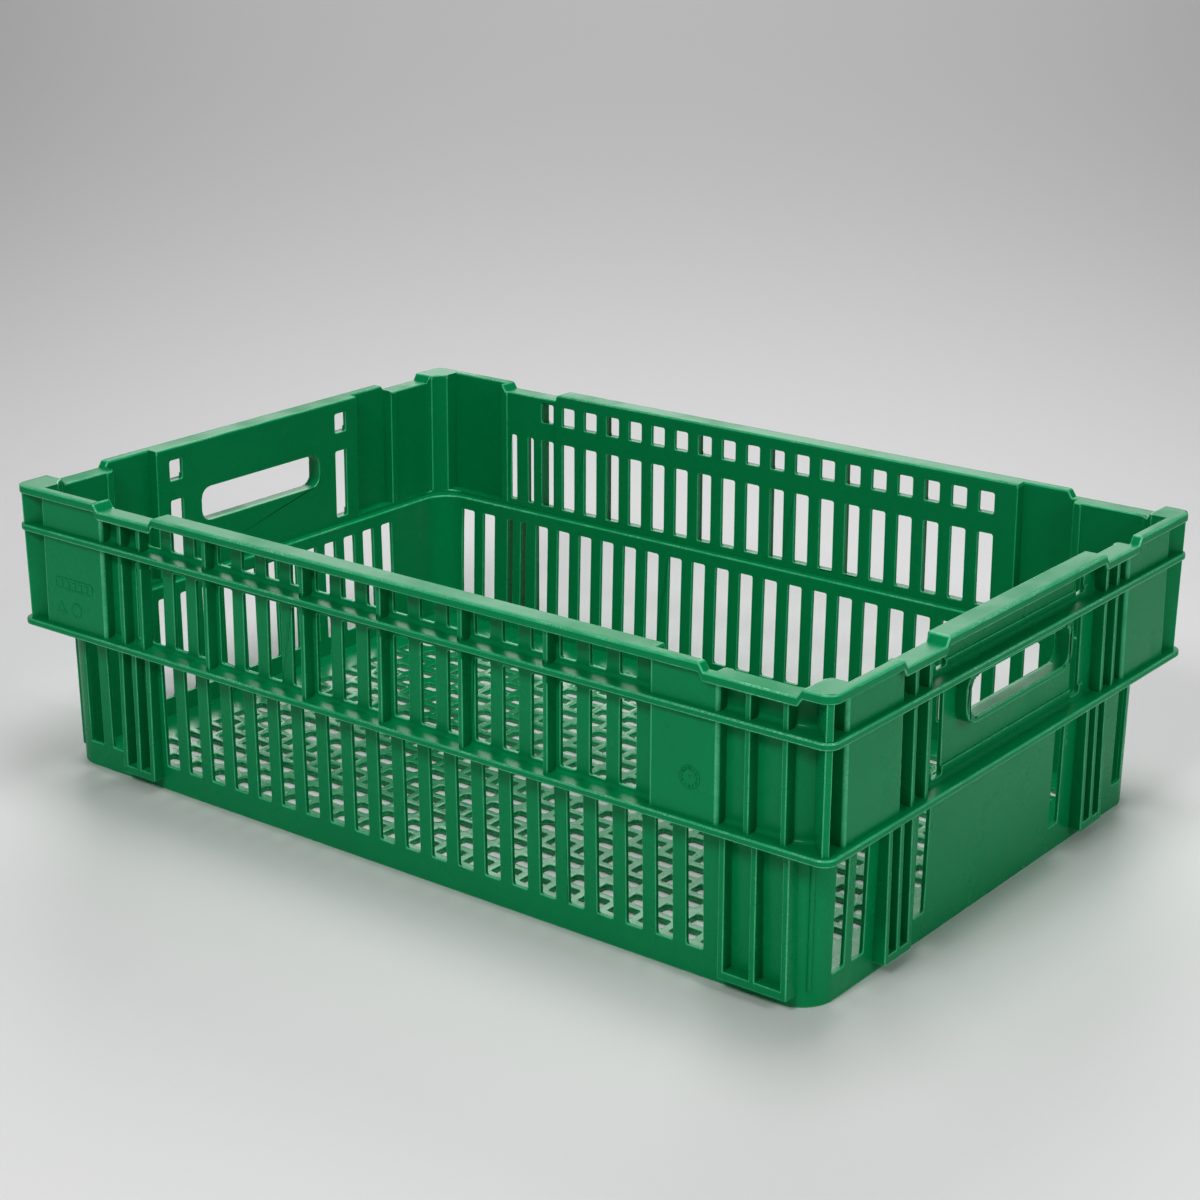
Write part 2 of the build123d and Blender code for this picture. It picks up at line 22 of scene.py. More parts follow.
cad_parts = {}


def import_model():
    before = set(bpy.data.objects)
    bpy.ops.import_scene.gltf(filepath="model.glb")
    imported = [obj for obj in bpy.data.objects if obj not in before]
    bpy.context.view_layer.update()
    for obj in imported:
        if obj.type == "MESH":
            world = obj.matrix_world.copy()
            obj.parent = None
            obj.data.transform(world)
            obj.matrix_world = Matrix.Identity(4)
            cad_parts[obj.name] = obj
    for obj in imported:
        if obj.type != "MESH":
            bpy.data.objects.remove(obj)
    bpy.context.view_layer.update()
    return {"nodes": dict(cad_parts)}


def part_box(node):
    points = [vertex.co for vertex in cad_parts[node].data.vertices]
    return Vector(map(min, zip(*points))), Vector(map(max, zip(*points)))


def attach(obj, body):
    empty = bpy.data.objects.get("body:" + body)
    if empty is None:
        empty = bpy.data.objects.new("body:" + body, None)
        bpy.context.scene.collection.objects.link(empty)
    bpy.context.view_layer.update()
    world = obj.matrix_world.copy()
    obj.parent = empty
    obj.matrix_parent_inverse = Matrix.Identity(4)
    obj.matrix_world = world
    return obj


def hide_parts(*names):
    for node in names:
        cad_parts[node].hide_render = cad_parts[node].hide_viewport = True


log = logging.getLogger("crate")

MM = 0.001
BODY = "root"
EDGE_LAYER = "rounded_edge"         # face attribute: 1 on rounded edges, 0 elsewhere; it places their pale tint, which is partly wear and partly a painted highlight
TOUCH = 0.01 * MM               # points closer than this are at the same place
FACING = 0.9                    # least share of a normal that looks one way
SMOOTH_ANGLE = math.radians(50.0)
RELIEF_ANGLE = math.radians(30)
LARGE_FACE_WEIGHT = 100


class Slot(Enum):
    """The record's material slots."""

    MOULDING = "moulding"
    FLANGE = "flange"
    BASE = "base"


# ---- working in object and edit mode ------------------------------------------
def pick(*objects: bpy.types.Object) -> None:
    """Leave object mode's selection holding only these objects, the last one active.

    Args:
        objects: what to select; nothing, to deselect everything.
    """
    if bpy.context.object and bpy.context.object.mode != "OBJECT":
        bpy.ops.object.mode_set(mode="OBJECT")
    for other in bpy.context.selected_objects:
        other.select_set(False)
    for obj in objects:
        obj.select_set(True)
        bpy.context.view_layer.objects.active = obj


@contextmanager
def editing(obj: bpy.types.Object, element: str = "FACE") -> Iterator[bmesh.types.BMesh]:
    """Edit mode on one object, with nothing selected at the start.

    Args:
        obj: the mesh object to edit.
        element: what selections mean, VERT, EDGE or FACE.

    Returns:
        The mesh being edited, for reading places and setting selections.
    """
    pick(obj)
    bpy.ops.object.mode_set(mode="EDIT")
    bpy.ops.mesh.select_mode(type=element)
    bpy.ops.mesh.select_all(action="DESELECT")
    yield bmesh.from_edit_mesh(obj.data)
    bpy.ops.object.mode_set(mode="OBJECT")


def choose(mesh: bmesh.types.BMesh, obj: bpy.types.Object, kind: str,
           test: Callable[[object], bool]) -> int:
    """Select the faces or edges that pass a test.

    Args:
        mesh: the mesh being edited.
        obj: the object it belongs to.
        kind: faces, edges or verts.
        test: says whether one element is wanted.

    Returns:
        How many were selected.
    """
    found = 0
    for element in getattr(mesh, kind):
        if test(element):
            element.select_set(True)
            found += 1
    mesh.select_flush_mode()
    bmesh.update_edit_mesh(obj.data)
    return found


def settle(obj: bpy.types.Object) -> bpy.types.Object:
    """Put a piece's place into its mesh, so that its object sits at the origin."""
    pick(obj)
    bpy.ops.object.transform_apply(location=True, rotation=True, scale=True)
    return obj


def shade(obj: bpy.types.Object) -> None:
    """Round shading over soft edges, with the large faces kept flat.

    Args:
        obj: the piece.
    """
    pick(obj)
    bpy.ops.object.shade_smooth_by_angle(angle=SMOOTH_ANGLE)
    flat = obj.modifiers.new("flat_faces", "WEIGHTED_NORMAL")
    flat.mode = "FACE_AREA"
    flat.weight = LARGE_FACE_WEIGHT
    flat.keep_sharp = True
    bpy.ops.object.modifier_apply(modifier=flat.name)


def square_up(obj: bpy.types.Object) -> None:
    """Cut a piece along all its flat axis-aligned faces and at both ends of its ramps,
    so that its walls are small clean rectangles that take a bevel.

    Args:
        obj: the piece, with its faces already merged.
    """
    apart, end_gap, exact = 0.03 * MM, 0.1 * MM, 0.004 * MM
    flat, least_slope, most_slope = 0.99995, 0.3, 0.98
    places: dict[int, list[float]] = {0: [], 1: [], 2: []}

    def note(axis: int, place: float) -> None:
        """Remember one cut, unless there is one already."""
        if all(abs(place - other) > apart for other in places[axis]):
            places[axis].append(place)

    for face in obj.data.polygons:
        axis = max(range(3), key=lambda i: abs(face.normal[i]))
        if abs(face.normal[axis]) > flat:
            note(axis, face.center[axis])
        elif least_slope < abs(face.normal.z) < most_slope:
            # a ramp's slope runs along the larger of its two level directions
            level = 0 if abs(face.normal.x) > abs(face.normal.y) else 1
            run = [obj.data.vertices[i].co[level] for i in face.vertices]
            note(level, min(run))
            note(level, max(run))
    with editing(obj, "FACE"):
        for axis, values in places.items():
            low = min(v.co[axis] for v in obj.data.vertices)
            high = max(v.co[axis] for v in obj.data.vertices)
            normal = [1.0 if i == axis else 0.0 for i in range(3)]
            for place in sorted(values):
                if low + end_gap < place < high - end_gap:
                    bpy.ops.mesh.select_all(action="SELECT")
                    bpy.ops.mesh.bisect(plane_co=[place * n for n in normal],
                                        plane_no=normal, threshold=exact)


def add_box(name: str, low: Iterable[float], high: Iterable[float]) -> bpy.types.Object:
    """Start a piece from the box between two corners.

    Args:
        name: the piece's name.
        low: its lowest corner.
        high: its highest corner.

    Returns:
        The box, with its place in its mesh.
    """
    pick()
    low, high = Vector(low), Vector(high)
    bpy.ops.mesh.primitive_cube_add(size=1.0, location=(low + high) / 2, scale=high - low)
    obj = bpy.context.object
    obj.name = name
    return settle(obj)


def add_disc(name: str, centre: Vector, radius: float, depth: float,
             corners: int) -> bpy.types.Object:
    """Start a piece from a short drum that looks towards the front.

    Args:
        name: the piece's name.
        centre: the middle of its back.
        radius: its radius.
        depth: how far it stands forward.
        corners: how many sides it has.

    Returns:
        The drum, with its place in its mesh.
    """
    pick()
    bpy.ops.mesh.primitive_cylinder_add(
        vertices=corners, radius=radius, depth=depth, rotation=(math.pi / 2, 0.0, 0.0),
        location=centre - Vector((0.0, depth / 2, 0.0)))
    obj = bpy.context.object
    obj.name = name
    return settle(obj)


def sink_front(obj: bpy.types.Object, border: float, depth: float) -> None:
    """Leave a raised border round the front face and sink the field inside it.

    Args:
        obj: the relief.
        border: how wide the border is.
        depth: how far the field sinks.
    """
    with editing(obj, "FACE") as mesh:
        front = min(face.calc_center_median().y for face in mesh.faces)
        choose(mesh, obj, "faces",
               lambda face: abs(face.calc_center_median().y - front) < TOUCH
               and face.normal.y < -FACING)
        bpy.ops.mesh.inset(thickness=border)
        bpy.ops.mesh.extrude_region_move(TRANSFORM_OT_translate={"value": (0, depth, 0)})


def soften(obj: bpy.types.Object, radius: float, segments: int = 2) -> None:
    """Round all the sharp edges of a small relief.

    Args:
        obj: the relief.
        radius: how far the rounding reaches.
        segments: how many steps it takes.
    """
    pick(obj)
    edge = obj.modifiers.new("soft_edges", "BEVEL")
    edge.width = radius
    edge.segments = segments
    edge.limit_method = "ANGLE"
    edge.angle_limit = RELIEF_ANGLE
    bpy.ops.object.modifier_apply(modifier=edge.name)


def join(parts: list[bpy.types.Object], name: str) -> bpy.types.Object:
    """Make one piece of several, with faces outward.

    Args:
        parts: the meshes to join.
        name: the name of the piece.

    Returns:
        The piece.
    """
    pick(*parts)
    if len(parts) > 1:
        bpy.ops.object.join()
    obj = bpy.context.object
    obj.name = name
    with editing(obj):
        bpy.ops.mesh.select_all(action="SELECT")
        bpy.ops.mesh.normals_make_consistent(inside=False)
    return obj


# ---- finishes ------------------------------------------------------------------
@dataclass
class Wiring:
    """Adds nodes to one node tree and links them."""

    tree: bpy.types.NodeTree

    def node(self, kind: str, **settings: object) -> bpy.types.Node:
        """Add a node.

        Args:
            kind: the node's type.
            settings: its properties by name.

        Returns:
            The node.
        """
        made = self.tree.nodes.new(kind)
        for key, value in settings.items():
            setattr(made, key, value)
        return made

    def feed(self, socket: bpy.types.NodeSocket, value: object) -> None:
        """Link another socket into an input, or set the input to a constant."""
        if isinstance(value, bpy.types.NodeSocket):
            self.tree.links.new(value, socket)
        else:
            socket.default_value = value

    def place(self) -> bpy.types.NodeSocket:
        """Coordinates in the piece's own space, which is the frame's space."""
        return self.node("ShaderNodeTexCoord").outputs["Object"]

    def squeeze(self, place: bpy.types.NodeSocket, scale: tuple[float, ...],
                turn: tuple[float, ...] = (0.0, 0.0, 0.0)) -> bpy.types.NodeSocket:
        """Turn and stretch coordinates.

        Args:
            place: the coordinates.
            scale: the scale on each axis.
            turn: the turn about each axis, in radians.

        Returns:
            The new coordinates.
        """
        mapping = self.node("ShaderNodeMapping")
        self.feed(mapping.inputs["Vector"], place)
        self.feed(mapping.inputs["Scale"], scale)
        self.feed(mapping.inputs["Rotation"], turn)
        return mapping.outputs["Vector"]

    def noise(self, place: bpy.types.NodeSocket, scale: object, detail: float,
              roughness: float = 0.5) -> bpy.types.NodeSocket:
        """Add soft noise.

        Args:
            place: the coordinates.
            scale: its scale, a number or a socket.
            detail: how many finer layers it has.
            roughness: how strong they are.

        Returns:
            The noise, about 0.3 to 0.7.
        """
        noise = self.node("ShaderNodeTexNoise", noise_dimensions="3D")
        self.feed(noise.inputs["Vector"], place)
        self.feed(noise.inputs["Scale"], scale)
        self.feed(noise.inputs["Detail"], detail)
        self.feed(noise.inputs["Roughness"], roughness)
        return noise.outputs["Fac"]

    def spread(self, value: bpy.types.NodeSocket, low: float = 0.0, high: float = 1.0,
               start: float = 0.0, end: float = 1.0) -> bpy.types.NodeSocket:
        """Map a range of a value onto another range, and clamp it there.

        Args:
            value: the value.
            low: where its range starts.
            high: where its range ends.
            start: what low becomes.
            end: what high becomes.

        Returns:
            The mapped value.
        """
        span = self.node("ShaderNodeMapRange")
        for name, number in (("From Min", low), ("From Max", high),
                             ("To Min", start), ("To Max", end)):
            self.feed(span.inputs[name], number)
        self.feed(span.inputs["Value"], value)
        return span.outputs["Result"]

    def combine(self, operation: str, a: object, b: object) -> bpy.types.NodeSocket:
        """Calculate with two values.

        Args:
            operation: a math node's operation.
            a: the first value, a socket or a number.
            b: the second.

        Returns:
            The result.
        """
        both = self.node("ShaderNodeMath", operation=operation)
        self.feed(both.inputs[0], a)
        self.feed(both.inputs[1], b)
        return both.outputs[0]

    def blend(self, factor: bpy.types.NodeSocket, under: object,
              over: tuple[float, float, float]) -> bpy.types.NodeSocket:
        """Mix a colour over another.

        Args:
            factor: how much of the upper colour shows.
            under: the lower colour, a socket or red, green and blue.
            over: the upper colour.

        Returns:
            The mixed colour.
        """
        mix = self.node("ShaderNodeMix", data_type="RGBA")
        self.feed(mix.inputs["Factor"], factor)
        self.feed(mix.inputs["A"], (*under, 1.0) if isinstance(under, tuple) else under)
        self.feed(mix.inputs["B"], (*over, 1.0))
        return mix.outputs["Result"]


@dataclass
class ShaderGroups:
    """The surface effects that every finish of the crate shares."""

    built: dict[str, bpy.types.NodeTree] = field(default_factory=dict)
    fine_share: float = 0.05
    wave_squeeze: tuple[float, float, float] = (55.0, 55.0, 4.0)
    scratch_width: float = 0.012
    scratch_runs: tuple[tuple[float, float], ...] = ((0.5, 0.07), (-0.9, 0.05))

    def start(self, name: str, inputs: dict[str, float],
              outputs: Iterable[str]) -> tuple[Wiring, bpy.types.NodeOutputs,
                                               bpy.types.NodeInputs]:
        """Begin a group.

        Args:
            name: the group's name.
            inputs: its inputs and their defaults.
            outputs: the names of its masks.

        Returns:
            The wiring, the group's inputs and its outputs, by name.
        """
        tree = bpy.data.node_groups.new(name, "ShaderNodeTree")
        self.built[name] = tree
        kind = "NodeSocketFloat"
        for key, value in inputs.items():
            socket = tree.interface.new_socket(name=key, in_out="INPUT", socket_type=kind)
            socket.default_value = value
        for key in outputs:
            tree.interface.new_socket(name=key, in_out="OUTPUT", socket_type=kind)
        wiring = Wiring(tree)
        return (wiring, wiring.node("NodeGroupInput").outputs,
                wiring.node("NodeGroupOutput").inputs)

    def mould_grain(self) -> None:
        """Build the fine spark-eroded texture and the long waves of the mould's faces."""
        w, given, out = self.start(
            "mould_grain", {"Grain Size": 1400.0, "Wave Amount": 0.5}, ["Height"])
        place = w.place()
        grain = w.noise(place, given["Grain Size"], detail=2.0)
        # waves run up the walls, as melt fills the mould from the floor
        wave = w.noise(w.squeeze(place, self.wave_squeeze), 1.0, detail=1.5)
        w.feed(out["Height"], w.combine(
            "ADD", w.combine("MULTIPLY", wave, given["Wave Amount"]),
            w.combine("MULTIPLY", grain, self.fine_share)))

    def scuffs(self) -> None:
        """Build thin crossing scratches and dull rubbed patches, as two masks."""
        w, given, out = self.start(
            "scuffs", {"Scratch Scale": 26.0, "Patch Scale": 14.0},
            ["Scratches", "Patches"])
        place = w.place()
        layers = []
        for turn, squeeze in self.scratch_runs:
            lines = w.node("ShaderNodeTexVoronoi", feature="DISTANCE_TO_EDGE")
            w.feed(lines.inputs["Vector"], w.squeeze(
                place, (1.0, squeeze, 1.0), (turn, turn * 0.6, turn)))
            w.feed(lines.inputs["Scale"], given["Scratch Scale"])
            layers.append(w.spread(lines.outputs["Distance"], high=self.scratch_width,
                                   start=1.0, end=0.0))
        patch = w.spread(w.noise(place, given["Patch Scale"], detail=6.0, roughness=0.62),
                         low=0.48, high=0.72)
        w.feed(out["Scratches"], w.combine(
            "MULTIPLY", w.combine("MAXIMUM", *layers), patch))
        w.feed(out["Patches"], patch)

    def edge_wear(self) -> None:
        """Build paler edges, partly rubbed wear and partly a painted highlight, and chalky
        chips, from each piece's edge attribute.
        """
        w, given, out = self.start(
            "edge_wear", {"Break Up": 90.0, "Chip Size": 900.0, "Stretch": 28.0},
            ["Wear", "Chips"])
        place = w.place()
        edge = w.node("ShaderNodeAttribute", attribute_name=EDGE_LAYER).outputs["Fac"]

        def mottle(scale: str, low: float, high: float,
                   least: float) -> bpy.types.NodeSocket:
            """Spread a noise from its least value to one."""
            return w.spread(w.noise(place, given[scale], detail=4.0), low, high, least)

        # pale edge mask, broken up: partly rubbed wear, partly a painted highlight on the
        # rounded edges
        wear_and_highlight_breakup = mottle("Break Up", low=0.3, high=0.7, least=0.55)
        w.feed(out["Wear"], w.combine("MULTIPLY", edge, wear_and_highlight_breakup))
        # chips gather in some stretches of an edge and leave others clean
        specks = mottle("Chip Size", low=0.46, high=0.6, least=0.0)
        stretches = mottle("Stretch", low=0.42, high=0.62, least=0.1)
        w.feed(out["Chips"], w.combine(
            "MULTIPLY", w.combine("MULTIPLY", edge, specks), stretches))


@dataclass(frozen=True)
class MouldedPlastic:
    """A polypropylene finish: colour, gloss, grain and how far it is worn.

    Edge, chips, scratch and patch say how strongly each mark shows: chips, scratches and
    patches are wear, and the pale edge is partly rubbed wear and partly a painted
    highlight.
    Dark and light are the limits of the pigment's drift, as shares of the body colour.
    """

    name: str
    body: tuple[float, float, float]
    pale: tuple[float, float, float]
    roughness: float
    gloss: float
    edge_gloss: float = 0.85
    chalk: tuple[float, float, float] = (0.5, 0.78, 0.6)
    drift_scale: float = 6.0
    edge: float = 0.75
    chips: float = 0.15
    scratch: float = 0.12
    patch: float = 0.2
    wave: float = 1.6
    bump: float = 0.42
    bump_depth: float = 0.6 * MM
    refraction: float = 1.49
    dark: float = 0.86
    light: float = 1.12

    def colour(self, w: Wiring, marks: bpy.types.Node,
               edges: bpy.types.Node) -> bpy.types.NodeSocket:
        """Lay the colours over each other.

        Args:
            w: the material's wiring.
            marks: the scuffs.
            edges: the edge wear.

        Returns:
            The base colour.
        """
        # slow drift of the pigment, then scratches, pale edges that are partly rubbed wear
        # and partly a painted highlight, and chalky chips
        drift = w.noise(w.place(), self.drift_scale, detail=3.0)
        colour = w.blend(drift, tuple(c * self.dark for c in self.body),
                         tuple(min(1.0, c * self.light) for c in self.body))
        for mask, amount, over in (
                (marks.outputs["Scratches"], self.scratch, self.pale),
                # pale rounded edges: partly rubbed wear, partly a painted highlight
                (edges.outputs["Wear"], self.edge, self.pale),
                (edges.outputs["Chips"], self.chips, self.chalk)):
            colour = w.blend(w.combine("MULTIPLY", mask, amount), colour, over)
        return colour

    def build(self, groups: ShaderGroups) -> bpy.types.Material:
        """Make the material.

        Args:
            groups: the shared surface effects.

        Returns:
            The finished material.
        """
        material = bpy.data.materials.new(self.name)
        material.use_nodes = True
        material.node_tree.nodes.clear()
        w = Wiring(material.node_tree)
        grain, marks, edges = (w.node("ShaderNodeGroup", node_tree=groups.built[name])
                               for name in ("mould_grain", "scuffs", "edge_wear"))
        grain.inputs["Wave Amount"].default_value = self.wave
        relief = w.node("ShaderNodeBump")
        relief.inputs["Strength"].default_value = self.bump
        relief.inputs["Distance"].default_value = self.bump_depth
        w.feed(relief.inputs["Height"], grain.outputs["Height"])
        shader = w.node("ShaderNodeBsdfPrincipled")
        shader.inputs["IOR"].default_value = self.refraction
        w.feed(shader.inputs["Base Color"], self.colour(w, marks, edges))
        # the mould's rounded edges are its most polished places
        w.feed(shader.inputs["Specular IOR Level"], w.spread(
            edges.outputs["Wear"], start=self.gloss, end=self.edge_gloss))
        # rubbed patches are duller
        w.feed(shader.inputs["Roughness"], w.spread(
            marks.outputs["Patches"], start=self.roughness,
            end=self.roughness + self.patch))
        w.feed(shader.inputs["Normal"], relief.outputs["Normal"])
        out = w.node("ShaderNodeOutputMaterial")
        w.feed(out.inputs["Surface"], shader.outputs[0])
        return material


# ---- zones of the moulding, with the mould's rounded edges -----------------------
@dataclass
class Neighbours:
    """Knows where the frame's zones touch each other."""

    nodes: dict[str, bpy.types.Object]
    reach: float = 0.05 * MM
    trees: dict[str, BVHTree] = field(default_factory=dict)
    boxes: dict[str, tuple[Vector, Vector]] = field(default_factory=dict)

    def __post_init__(self) -> None:
        """Index the surface and the box of every zone."""
        for name, obj in self.nodes.items():
            points = [v.co.copy() for v in obj.data.vertices]
            faces = [tuple(p.vertices) for p in obj.data.polygons]
            self.trees[name] = BVHTree.FromPolygons(points, faces)
            self.boxes[name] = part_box(name)

    def near(self, name: str) -> list[str]:
        """Find the other zones whose boxes meet this zone's box.

        Args:
            name: the zone.

        Returns:
            The names of the others.
        """
        low, high = self.boxes[name]
        pad = Vector((self.reach,) * 3)
        return [other for other, (lo, hi) in self.boxes.items() if other != name
                and all(a <= b for a, b in zip(lo - pad, high + pad))
                and all(a <= b for a, b in zip(low - pad, hi + pad))]

    def seam(self, others: Iterable[str], points: Iterable[Vector]) -> bool:
        """Whether any of the points lies on the surface of another zone."""
        return any(self.trees[o].find_nearest(p, self.reach)[0] is not None
                   for p in points for o in others)


@dataclass(frozen=True)
class EdgeRound:
    """How a zone's edges are rounded.

    Edges shorter than least_edge stay sharp. The corners of its vents are rounded
    by opening, along the axis that runs through its wall.
    """

    radius: float
    segments: int = 2
    least_edge: float = 0.15 * MM
    opening: float = 0.0
    through: int = 0


@dataclass
class MouldedZone:
    """One zone of the moulding with its free edges rounded.

    The angles are in degrees: sharp is the least angle of an outward edge that is
    rounded, square that of a vent's inward corner, and flat joins faces below it.
    The samples are where along an edge a neighbour is looked for.
    """

    node: str
    slot: Slot
    rounding: EdgeRound
    sharp: float = 28.0
    square: float = 75.0
    flat: float = 0.6
    aligned: float = 0.99
    merge: float = 0.01 * MM
    vent_samples: tuple[float, ...] = (0.1, 0.5, 0.9)
    edge_samples: tuple[float, ...] = (0.12, 0.5, 0.88)

    def round_openings(self, obj: bpy.types.Object, neighbours: Neighbours,
                       others: list[str]) -> None:
        """Round the inward corners of the vents that go through the wall.

        Args:
            obj: the piece.
            neighbours: where the zones touch.
            others: the zones next to this one.
        """
        limit, through = math.radians(self.square), self.rounding.through

        def inward(edge: bmesh.types.BMEdge) -> bool:
            """Whether an edge is an inward corner running through the wall."""
            if len(edge.link_faces) != 2 or edge.calc_face_angle_signed(0.0) > -limit:
                return False
            a, b = (v.co for v in edge.verts)
            if abs((b - a).normalized()[through]) < self.aligned:
                return False
            return not neighbours.seam(others, [a.lerp(b, t) for t in self.vent_samples])

        with editing(obj, "EDGE") as mesh:
            if choose(mesh, obj, "edges", inward):
                bpy.ops.mesh.bevel(offset=self.rounding.opening, offset_type="OFFSET",
                                   segments=2, profile=0.5, affect="EDGES",
                                   clamp_overlap=False)

    def build(self, source: bpy.types.Object, neighbours: Neighbours) -> bpy.types.Object:
        """Copy the zone, join its faces and round the edges that meet no other zone.

        Args:
            source: the frame's own object, which stays as it is.
            neighbours: where the zones touch.

        Returns:
            The finished piece.
        """
        obj = bpy.data.objects.new(f"{self.node}.moulded", source.data.copy())
        bpy.context.scene.collection.objects.link(obj)
        obj.data.materials.clear()
        obj.data.attributes.new(EDGE_LAYER, "FLOAT", "FACE")
        with editing(obj, "EDGE"):
            bpy.ops.mesh.select_all(action="SELECT")
            bpy.ops.mesh.remove_doubles(threshold=self.merge)
            bpy.ops.mesh.dissolve_limited(angle_limit=math.radians(self.flat))
            bpy.ops.mesh.customdata_custom_splitnormals_clear()
        square_up(obj)
        others = neighbours.near(self.node)
        limit = math.radians(self.sharp)
        if self.rounding.opening:
            self.round_openings(obj, neighbours, others)

        def free(edge: bmesh.types.BMEdge) -> bool:
            """Whether an edge is an outward corner that no other zone touches."""
            if len(edge.link_faces) != 2 or edge.calc_length() < self.rounding.least_edge:
                return False
            if edge.calc_face_angle_signed(0.0) < limit:
                return False
            a, b = (v.co for v in edge.verts)
            return not neighbours.seam(others, [a.lerp(b, t) for t in self.edge_samples])

        with editing(obj, "EDGE") as mesh:
            if choose(mesh, obj, "edges", free):
                bpy.ops.mesh.bevel(offset=self.rounding.radius, offset_type="OFFSET",
                                   segments=self.rounding.segments, profile=0.5,
                                   affect="EDGES", clamp_overlap=False)
                mesh = bmesh.from_edit_mesh(obj.data)
                layer = mesh.faces.layers.float[EDGE_LAYER]
                for face in mesh.faces:
                    face[layer] = 1.0 if face.select else 0.0
                bmesh.update_edit_mesh(obj.data)
        shade(obj)
        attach(obj, BODY)
        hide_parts(self.node)
        return obj


# ---- small raised details of the moulding ------------------------------------------
# Every detail's build method yields its pieces one by one, each with its slot.
Piece = tuple[bpy.types.Object, Slot]
RELIEF = 0.4 * MM               # how far the marks stand out
RELIEF_ROOT = 0.2 * MM          # how far they reach into the plate
FIELD = 0.05 * MM               # a sunken field still stands this far out
ENDS = ((-1, "left"), (1, "right"))
FACES = ((-1, "front"), (1, "back"))


@dataclass(frozen=True)
class CornerBeads:
    """Thin upright bead on each rounded corner of the lower body."""

    radius: float = 1.3 * MM
    foot: float = 9.0 * MM
    under_ledge: float = 1.5 * MM
    foot_round: float = 0.8
    sides: int = 20
    corner_radius: float = 20.0 * MM
    draft: float = 2.2 * MM

    def bead(self, zone: str, sx: int, sy: int) -> bpy.types.Object:
        """Build the bead of one corner.

        Args:
            zone: the corner's zone.
            sx: which end of the crate, -1 or 1.
            sy: which long side, -1 or 1.

        Returns:
            The bead.
        """
        low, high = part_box(zone)
        tall, top = high[2] - low[2], high[2] - self.under_ledge
        widest = self.draft + self.corner_radius
        centre_x = max(abs(low[0]), abs(high[0])) - widest
        centre_y = max(abs(low[1]), abs(high[1])) - widest

        def on_corner(z: float) -> Vector:
            """The middle of the corner's curve at one height."""
            out = (self.corner_radius + self.draft * z / tall) / math.sqrt(2.0)
            return Vector((sx * (centre_x + out), sy * (centre_y + out), z))

        start, end = on_corner(self.foot), on_corner(top)
        pick()
        bpy.ops.mesh.primitive_cylinder_add(
            vertices=self.sides, radius=self.radius, depth=top - self.foot,
            location=(start.x, start.y, (self.foot + top) / 2))
        obj = settle(bpy.context.object)
        with editing(obj, "FACE") as mesh:
            # lean the bead with the wall
            choose(mesh, obj, "faces", lambda face: face.normal.z > FACING)
            bpy.ops.transform.translate(value=(end.x - start.x, end.y - start.y, 0.0))
        with editing(obj, "EDGE") as mesh:
            choose(mesh, obj, "edges", lambda edge: all(
                v.co.z < self.foot + TOUCH for v in edge.verts))
            bpy.ops.mesh.bevel(offset=self.foot_round * self.radius, segments=3,
                               profile=0.5, affect="EDGES")
        return join([obj], f"{zone}.bead")

    def build(self) -> Iterator[Piece]:
        """Build the four beads."""
        for sx, side in ENDS:
            for sy, face in FACES:
                yield self.bead(f"lower_corner_{face}_{side}", sx, sy), Slot.MOULDING


